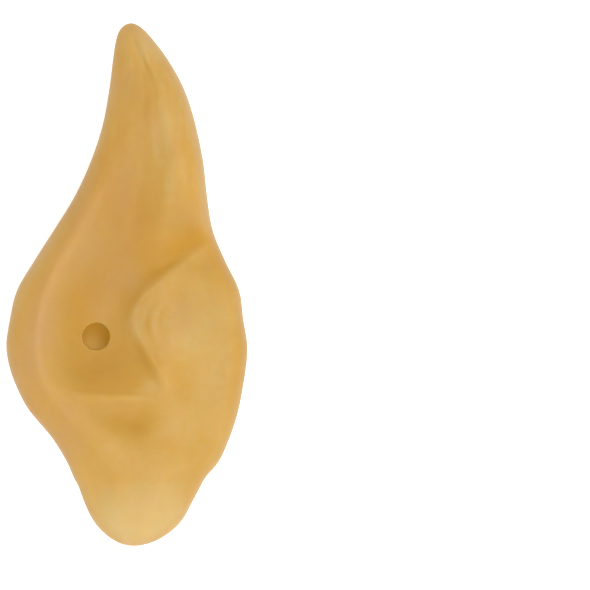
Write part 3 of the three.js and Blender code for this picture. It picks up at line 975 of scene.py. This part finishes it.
    def build(self) -> bpy.types.Object:
        """Makes the mesh, its values for the finish and its two material numbers.

        Returns:
            The ear, whose outer faces take the first material and whose hollow takes the second.
        """
        made = self.rings()
        points = made.points()
        rings, rays = points.shape[:2]
        number = np.arange(rings * rays).reshape(rings, rays)
        after = np.roll(number, -1, axis=0)
        quads = np.stack([number, after, np.roll(after, -1, axis=1), np.roll(number, -1, axis=1)], axis=-1)
        mesh = bpy.data.meshes.new("latex_ear")
        mesh.from_pydata((points * MM).reshape(-1, 3), [], quads.reshape(-1, 4))
        mesh.shade_smooth()
        order = list(Skin)
        skins = np.array([order.index(skin) for skin in made.skins])
        mesh.polygons.foreach_set("material_index", np.repeat(skins, rays).astype(np.int32))
        for name, values in self.attributes(points).items():
            layer = mesh.attributes.new(name, "FLOAT", "POINT")
            layer.data.foreach_set("value", values.astype(np.float32).ravel())
        mesh.update()
        ear = bpy.data.objects.new("latex_ear", mesh)
        bpy.context.scene.collection.objects.link(ear)
        return ear


@dataclass(frozen=True)
class LatexFinish:
    """Bare cured latex: colours are linear, depths in metres. The deep colour is also painted shade, the pale
    one painted light, and the rosy one the rim's painted shade.
    """

    name: str
    body: tuple[float, float, float] = (0.547, 0.322, 0.062)
    # Darker colour for hollows: pooled latex and painted shade.
    deep_and_shaded: tuple[float, float, float] = (0.490, 0.255, 0.024)
    # Paler colour for domes and ridges: painted light.
    pale_and_lit: tuple[float, float, float] = (0.602, 0.424, 0.165)
    # Rosy tint, also the rim's painted shade.
    rosy_and_rim_shade: tuple[float, float, float] = (0.496, 0.293, 0.110)
    amber: tuple[float, float, float] = (0.545, 0.283, 0.008)
    roughness: float = 0.46
    roughness_swing: float = 0.10
    scatter: float = 1.0
    scatter_radius: tuple[float, float, float] = (1.0, 0.55, 0.2)
    scatter_scale: float = 0.003
    refraction: float = 1.45
    shine: float = 0.35
    cloud: float = 0.8
    streaks: float = 0.7
    # How much the crease value darkens, as pooled latex and painted shade.
    pool_and_shade_share: float = 0.35
    # How far the outline's rim darkens, as painted shade, towards the rosy tint.
    rim_shade_blush: float = 0.5
    grain_depth: float = 0.00004


OUTER_LATEX = LatexFinish("latex_outer")
HOLLOW_LATEX = LatexFinish("latex_hollow", body=(0.50, 0.28, 0.040), pale_and_lit=(0.54, 0.32, 0.060),
                           roughness=0.38, streaks=0.0, grain_depth=0.00002)


@dataclass
class NodeSheet:
    """A node tree with short calls to add nodes and join them."""

    tree: bpy.types.NodeTree

    def add(self, kind: str, **settings: object) -> bpy.types.Node:
        """Adds a node and sets its properties.

        Args:
            kind: The node's type.
            settings: Its properties by name.

        Returns:
            The node.
        """
        node = self.tree.nodes.new(kind)
        for name, value in settings.items():
            setattr(node, name, value)
        return node

    def feed(self, socket: bpy.types.NodeSocket, value: object) -> None:
        """Links a socket to another socket, or sets its value.

        Args:
            socket: The input.
            value: A socket, or the value itself.
        """
        if isinstance(value, bpy.types.NodeSocket):
            self.tree.links.new(value, socket)
        else:
            socket.default_value = value

    def maths(self, operation: str, *values: object, clamp: bool = False) -> bpy.types.NodeSocket:
        """A Math node on numbers or sockets.

        Args:
            operation: What it works out.
            values: Its inputs, in order.
            clamp: Whether the result is held between 0 and 1.

        Returns:
            Its output.
        """
        node = self.add("ShaderNodeMath", operation=operation, use_clamp=clamp)
        for socket, value in zip(node.inputs, values):
            self.feed(socket, value)
        return node.outputs[0]

    def mix(self, share: object, first: object, second: object) -> bpy.types.NodeSocket:
        """A colour mix: the first colour at 0, the second at 1.

        Args:
            share: A number or a socket.
            first: A colour or a socket.
            second: A colour or a socket.

        Returns:
            Its output.
        """
        node = self.add("ShaderNodeMix", data_type="RGBA")
        self.feed(node.inputs["Factor"], share)
        self.feed(node.inputs[MIX_FIRST], first)
        self.feed(node.inputs[MIX_SECOND], second)
        return node.outputs[MIX_RESULT]

    def smooth_step(self, value: object, low: float, high: float) -> bpy.types.NodeSocket:
        """Goes smoothly from 0 where the value is low to 1 where it is high.

        Args:
            value: A number or a socket.
            low: Where the rise starts.
            high: Where it ends.

        Returns:
            Its output.
        """
        node = self.add("ShaderNodeMapRange", interpolation_type="SMOOTHSTEP")
        self.feed(node.inputs["Value"], value)
        self.feed(node.inputs["From Min"], low)
        self.feed(node.inputs["From Max"], high)
        return node.outputs["Result"]

    def noise(self, where: object, scale: float, detail: float = 2.0) -> bpy.types.NodeSocket:
        """A noise pattern of a scale per metre, 0 to 1.

        Args:
            where: The coordinates.
            scale: Its scale per metre.
            detail: How many finer layers it has.

        Returns:
            Its output.
        """
        node = self.add("ShaderNodeTexNoise")
        self.feed(node.inputs["Vector"], where)
        self.feed(node.inputs["Scale"], scale)
        self.feed(node.inputs["Detail"], detail)
        return node.outputs["Fac"]

    def stretched(self, where: object, scale: tuple[float, float, float]) -> bpy.types.NodeSocket:
        """Coordinates scaled along each axis.

        Args:
            where: The coordinates.
            scale: Factors along X, Y and Z.

        Returns:
            The new coordinates.
        """
        node = self.add("ShaderNodeMapping")
        self.feed(node.inputs["Vector"], where)
        self.feed(node.inputs["Scale"], scale)
        return node.outputs["Vector"]

    def attribute(self, name: str) -> bpy.types.NodeSocket:
        """A value that the mesh carries."""
        node = self.add("ShaderNodeAttribute", attribute_name=name)
        return node.outputs["Fac"]


@dataclass
class LatexEffects:
    """Node groups that the outer skin and the hollow share. Scales are per metre."""

    cloud_scale: float = 70.0
    small_cloud_scale: float = 420.0
    small_cloud_share: float = 0.5
    streak_scale: float = 600.0
    streak_shape: tuple[float, float, float] = (1.0, 0.12, 1.0)
    grain_scale: float = 1800.0
    dimple_scale: float = 380.0
    dimple_share: float = 1.6
    gloss_scale: float = 130.0
    noise_middle: float = 0.5
    cloud: bpy.types.NodeTree = field(init=False)
    streaks: bpy.types.NodeTree = field(init=False)
    surface: bpy.types.NodeTree = field(init=False)

    def __post_init__(self) -> None:
        """Builds the groups once."""
        self.cloud = self.build_cloud()
        self.streaks = self.build_streaks()
        self.surface = self.build_surface()

    @staticmethod
    def group(name: str, inputs: tuple[str, ...],
              outputs: dict[str, str]) -> tuple[NodeSheet, bpy.types.Node, bpy.types.Node]:
        """Starts a node group with number inputs and named outputs.

        Args:
            name: The group's name.
            inputs: Names of its number inputs.
            outputs: Socket types by name.

        Returns:
            The group's sheet, and the nodes that give its inputs and take its outputs.
        """
        tree = bpy.data.node_groups.new(name, "ShaderNodeTree")
        for label in inputs:
            tree.interface.new_socket(label, in_out="INPUT", socket_type="NodeSocketFloat")
        for label, kind in outputs.items():
            tree.interface.new_socket(label, in_out="OUTPUT", socket_type=kind)
        sheet = NodeSheet(tree)
        return sheet, sheet.add("NodeGroupInput"), sheet.add("NodeGroupOutput")

    def build_cloud(self) -> bpy.types.NodeTree:
        """Uneven body colour: large soft clouds with smaller ones in them, about 0 on average.

        Returns:
            The group.
        """
        sheet, given, out = self.group("latex_cloud", ("Amount",), {"Mask": "NodeSocketFloat"})
        where = sheet.add("ShaderNodeTexCoord").outputs["Object"]
        middle = self.noise_middle
        large = sheet.maths("SUBTRACT", sheet.noise(where, self.cloud_scale, detail=1.0), middle)
        small = sheet.maths("SUBTRACT", sheet.noise(where, self.small_cloud_scale, detail=3.0), middle)
        both = sheet.maths("MULTIPLY_ADD", small, self.small_cloud_share, large)
        sheet.feed(out.inputs["Mask"], sheet.maths("MULTIPLY", both, given.outputs["Amount"]))
        return sheet.tree

    def build_streaks(self) -> bpy.types.NodeTree:
        """Faint drain streaks that run up the ear: noise drawn out along Y, about 0 on average.

        Returns:
            The group.
        """
        sheet, given, out = self.group("latex_streaks", ("Amount",), {"Mask": "NodeSocketFloat"})
        where = sheet.add("ShaderNodeTexCoord").outputs["Object"]
        drawn = sheet.stretched(where, self.streak_shape)
        fine = sheet.maths("SUBTRACT", sheet.noise(drawn, self.streak_scale, detail=2.0), self.noise_middle)
        sheet.feed(out.inputs["Mask"], sheet.maths("MULTIPLY", fine, given.outputs["Amount"]))
        return sheet.tree

    def build_surface(self) -> bpy.types.NodeTree:
        """Fine skin of cast latex: a soft grain and a few flat dimples as a normal, and a gloss mask.

        Returns:
            The group.
        """
        sheet, given, out = self.group("latex_surface", ("Depth",),
                                       {"Normal": "NodeSocketVector", "Gloss": "NodeSocketFloat"})
        where = sheet.add("ShaderNodeTexCoord").outputs["Object"]
        grain = sheet.noise(where, self.grain_scale, detail=3.0)
        dimples = sheet.noise(where, self.dimple_scale, detail=1.0)
        height = sheet.maths("MULTIPLY_ADD", dimples, self.dimple_share, grain)
        bump = sheet.add("ShaderNodeBump")
        sheet.feed(bump.inputs["Strength"], 1.0)
        sheet.feed(bump.inputs["Distance"], given.outputs["Depth"])
        sheet.feed(bump.inputs["Height"], height)
        sheet.feed(out.inputs["Normal"], bump.outputs["Normal"])
        sheet.feed(out.inputs["Gloss"], sheet.noise(where, self.gloss_scale, detail=3.0))
        return sheet.tree


@dataclass
class LatexDresser:
    """Makes the materials from the finishes and the shared effects."""

    effects: LatexEffects

    @staticmethod
    def use(sheet: NodeSheet, group: bpy.types.NodeTree, **values: float) -> bpy.types.Node:
        """Places a shared group with its own values.

        Args:
            sheet: The material's nodes.
            group: The shared group.
            values: Its inputs by name.

        Returns:
            The group's node.
        """
        node = sheet.add("ShaderNodeGroup")
        node.node_tree = group
        for name, value in values.items():
            sheet.feed(node.inputs[name], value)
        return node

    def material(self, finish: LatexFinish) -> bpy.types.Material:
        """Latex whose colour deepens in hollows, as pooled latex and painted shade, with painted light on
        domes and ridges, painted shade at the rim, and rosy or amber tints in places.

        Args:
            finish: The colours, gloss and depths.

        Returns:
            The material, with the constant values on the shader's own sockets.
        """
        made = bpy.data.materials.new(finish.name)
        made.use_nodes = True
        sheet = NodeSheet(made.node_tree)
        shader = made.node_tree.nodes["Principled BSDF"]
        cloud = self.use(sheet, self.effects.cloud, Amount=finish.cloud).outputs["Mask"]
        streaks = self.use(sheet, self.effects.streaks, Amount=finish.streaks).outputs["Mask"]
        surface = self.use(sheet, self.effects.surface, Depth=finish.grain_depth)
        # Painted shade and painted light from the painted tone and the crease value, with the random cloud
        # and streaks of the latex.
        tone = sheet.maths("MULTIPLY_ADD", sheet.attribute("pooling"), finish.pool_and_shade_share,
                           sheet.attribute("tone"))
        tone = sheet.maths("ADD", tone, cloud)
        tone = sheet.maths("MULTIPLY_ADD", streaks, sheet.attribute("horn"), tone)
        deeper_and_shaded = sheet.maths("MULTIPLY", tone, 1.0, clamp=True)
        paler_and_lit = sheet.maths("MULTIPLY", tone, -1.0, clamp=True)
        colour = sheet.mix(deeper_and_shaded, (*finish.body, 1.0), (*finish.deep_and_shaded, 1.0))
        colour = sheet.mix(paler_and_lit, colour, (*finish.pale_and_lit, 1.0))
        # Painted shade at the outline's rim, with a rosy tint, and the blush.
        rosy_and_rim_shade = sheet.maths("MULTIPLY_ADD", sheet.attribute("rim"), finish.rim_shade_blush,
                           sheet.attribute("blush"), clamp=True)
        colour = sheet.mix(rosy_and_rim_shade, colour, (*finish.rosy_and_rim_shade, 1.0))
        amber = sheet.maths("MULTIPLY", sheet.attribute("blush"), -1.0, clamp=True)
        colour = sheet.mix(amber, colour, (*finish.amber, 1.0))
        sheet.feed(shader.inputs["Base Color"], colour)
        gloss = sheet.maths("MULTIPLY_ADD", surface.outputs["Gloss"], finish.roughness_swing,
                            finish.roughness - 0.5 * finish.roughness_swing)
        sheet.feed(shader.inputs["Roughness"], gloss)
        sheet.feed(shader.inputs["Normal"], surface.outputs["Normal"])
        shader.inputs["IOR"].default_value = finish.refraction
        shader.inputs["Specular IOR Level"].default_value = finish.shine
        shader.inputs["Subsurface Weight"].default_value = finish.scatter
        shader.inputs["Subsurface Radius"].default_value = finish.scatter_radius
        shader.inputs["Subsurface Scale"].default_value = finish.scatter_scale
        return made


@dataclass
class Studio:
    """A white table under an even sky, one large soft light and the camera straight above.

    The photograph's frame is laid over the table: frame_width is what it covers, and the frame's
    centre stands right of the ear and a little below its middle. The glow is a round patch of the
    table under the hearing hole, and stands for light that comes through the skin. Sizes are in
    metres.
    """

    frame_width: float = 0.1409
    frame_centre: tuple[float, float] = (0.0402, -0.0023)
    focus_height: float = 0.012
    camera_distance: float = 1.5
    sensor: float = 36.0
    floor_size: float = 6.0
    floor_roughness: float = 0.8
    floor_colour: tuple[float, float, float] = (0.93, 0.93, 0.93)
    glow_place: tuple[float, float] = (-0.0088, -0.0145)
    glow_near: float = 0.0
    glow_far: float = 0.0047
    glow_clear: float = 0.007
    glow_reach: float = 0.014
    glow_colour: tuple[float, float, float] = (0.62, 0.29, 0.04)
    glow_light: tuple[float, float, float] = (0.415, 0.235, 0.053)
    glow_shade: tuple[float, float, float] = (0.275, 0.130, 0.010)
    table_light: float = 0.45
    sky: float = 0.95
    light_place: tuple[float, float, float] = (0.28, -0.45, 1.00)
    light_size: float = 0.9
    light_power: float = 6.0

    def floor(self) -> bpy.types.Object:
        """Makes the table's top: matt white, brighter to the camera, with a painted glow of amber light and
        shade under the hearing hole.

        Returns:
            The table's top, which is stage.
        """
        half = 0.5 * self.floor_size
        corners = [(-half, -half, 0.0), (half, -half, 0.0), (half, half, 0.0), (-half, half, 0.0)]
        mesh = bpy.data.meshes.new("table_top")
        mesh.from_pydata(corners, [], [(0, 1, 2, 3)])
        white = bpy.data.materials.new("table_white")
        white.use_nodes = True
        shader = white.node_tree.nodes["Principled BSDF"]
        shader.inputs["Roughness"].default_value = self.floor_roughness
        sheet = NodeSheet(white.node_tree)
        where = sheet.add("ShaderNodeTexCoord").outputs["Object"]
        off = sheet.add("ShaderNodeVectorMath", operation="DISTANCE")
        sheet.feed(off.inputs[0], where)
        sheet.feed(off.inputs[1], (*self.glow_place, 0.0))
        shaded = sheet.smooth_step(off.outputs["Value"], self.glow_near, self.glow_far)
        open_table = sheet.smooth_step(off.outputs["Value"], self.glow_clear, self.glow_reach)
        # The amber base colour under the hearing hole is part of the painted glow.
        colour = sheet.mix(open_table, (*self.glow_colour, 1.0), (*self.floor_colour, 1.0))
        sheet.feed(shader.inputs["Base Color"], colour)
        lit = (self.table_light, self.table_light, self.table_light, 1.0)
        # Painted amber light through the skin, and painted shade towards the far side of the hole.
        glow = sheet.mix(shaded, (*self.glow_light, 1.0), (*self.glow_shade, 1.0))
        seen = sheet.add("ShaderNodeLightPath").outputs["Is Camera Ray"]
        lit = sheet.mix(seen, (0.0, 0.0, 0.0, 1.0), lit)
        sheet.feed(shader.inputs["Emission Color"], sheet.mix(open_table, glow, lit))
        shader.inputs["Emission Strength"].default_value = 1.0
        mesh.materials.append(white)
        table = bpy.data.objects.new("table_top", mesh)
        bpy.context.scene.collection.objects.link(table)
        return table

    def lights(self) -> None:
        """Makes the even sky and the large soft light."""
        world = bpy.data.worlds.new("studio_sky")
        world.use_nodes = True
        sky = world.node_tree.nodes["Background"]
        sky.inputs["Color"].default_value = (1.0, 1.0, 1.0, 1.0)
        sky.inputs["Strength"].default_value = self.sky
        bpy.context.scene.world = world
        lamp = bpy.data.lights.new("soft_light", "AREA")
        lamp.size = self.light_size
        lamp.energy = self.light_power
        light = bpy.data.objects.new("soft_light", lamp)
        light.location = self.light_place
        light.rotation_mode = "QUATERNION"
        light.rotation_quaternion = (-Vector(self.light_place)).to_track_quat("-Z", "Y")
        bpy.context.scene.collection.objects.link(light)

    def camera(self) -> bpy.types.Object:
        """Makes the camera, which looks straight down and covers frame_width at focus_height.

        Returns:
            The camera.
        """
        lens = bpy.data.cameras.new("camera")
        lens.sensor_width = self.sensor
        lens.lens = self.sensor * self.camera_distance / self.frame_width
        camera = bpy.data.objects.new("camera", lens)
        camera.location = (*self.frame_centre, self.camera_distance + self.focus_height)
        bpy.context.scene.collection.objects.link(camera)
        bpy.context.scene.camera = camera
        return camera


def main() -> None:
    """Builds the ear and its setting."""
    logging.basicConfig(level=logging.INFO, format="%(name)s: %(message)s")
    low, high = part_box(NODE)
    size = (high - low) / MM
    LOG.info("solid of %.1f x %.1f x %.1f mm", *size)
    studio = Studio()
    studio.camera()
    studio.lights()
    studio.floor()
    ear = EarShell(EarForm()).build()
    LOG.info("%s: %d faces", ear.name, len(ear.data.polygons))
    dresser = LatexDresser(LatexEffects())
    for finish in (OUTER_LATEX, HOLLOW_LATEX):
        ear.data.materials.append(dresser.material(finish))
    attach(ear, "root")
    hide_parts(NODE)
    bpy.context.scene.view_settings.view_transform = "Standard"


if __name__ == "__main__":
    main()
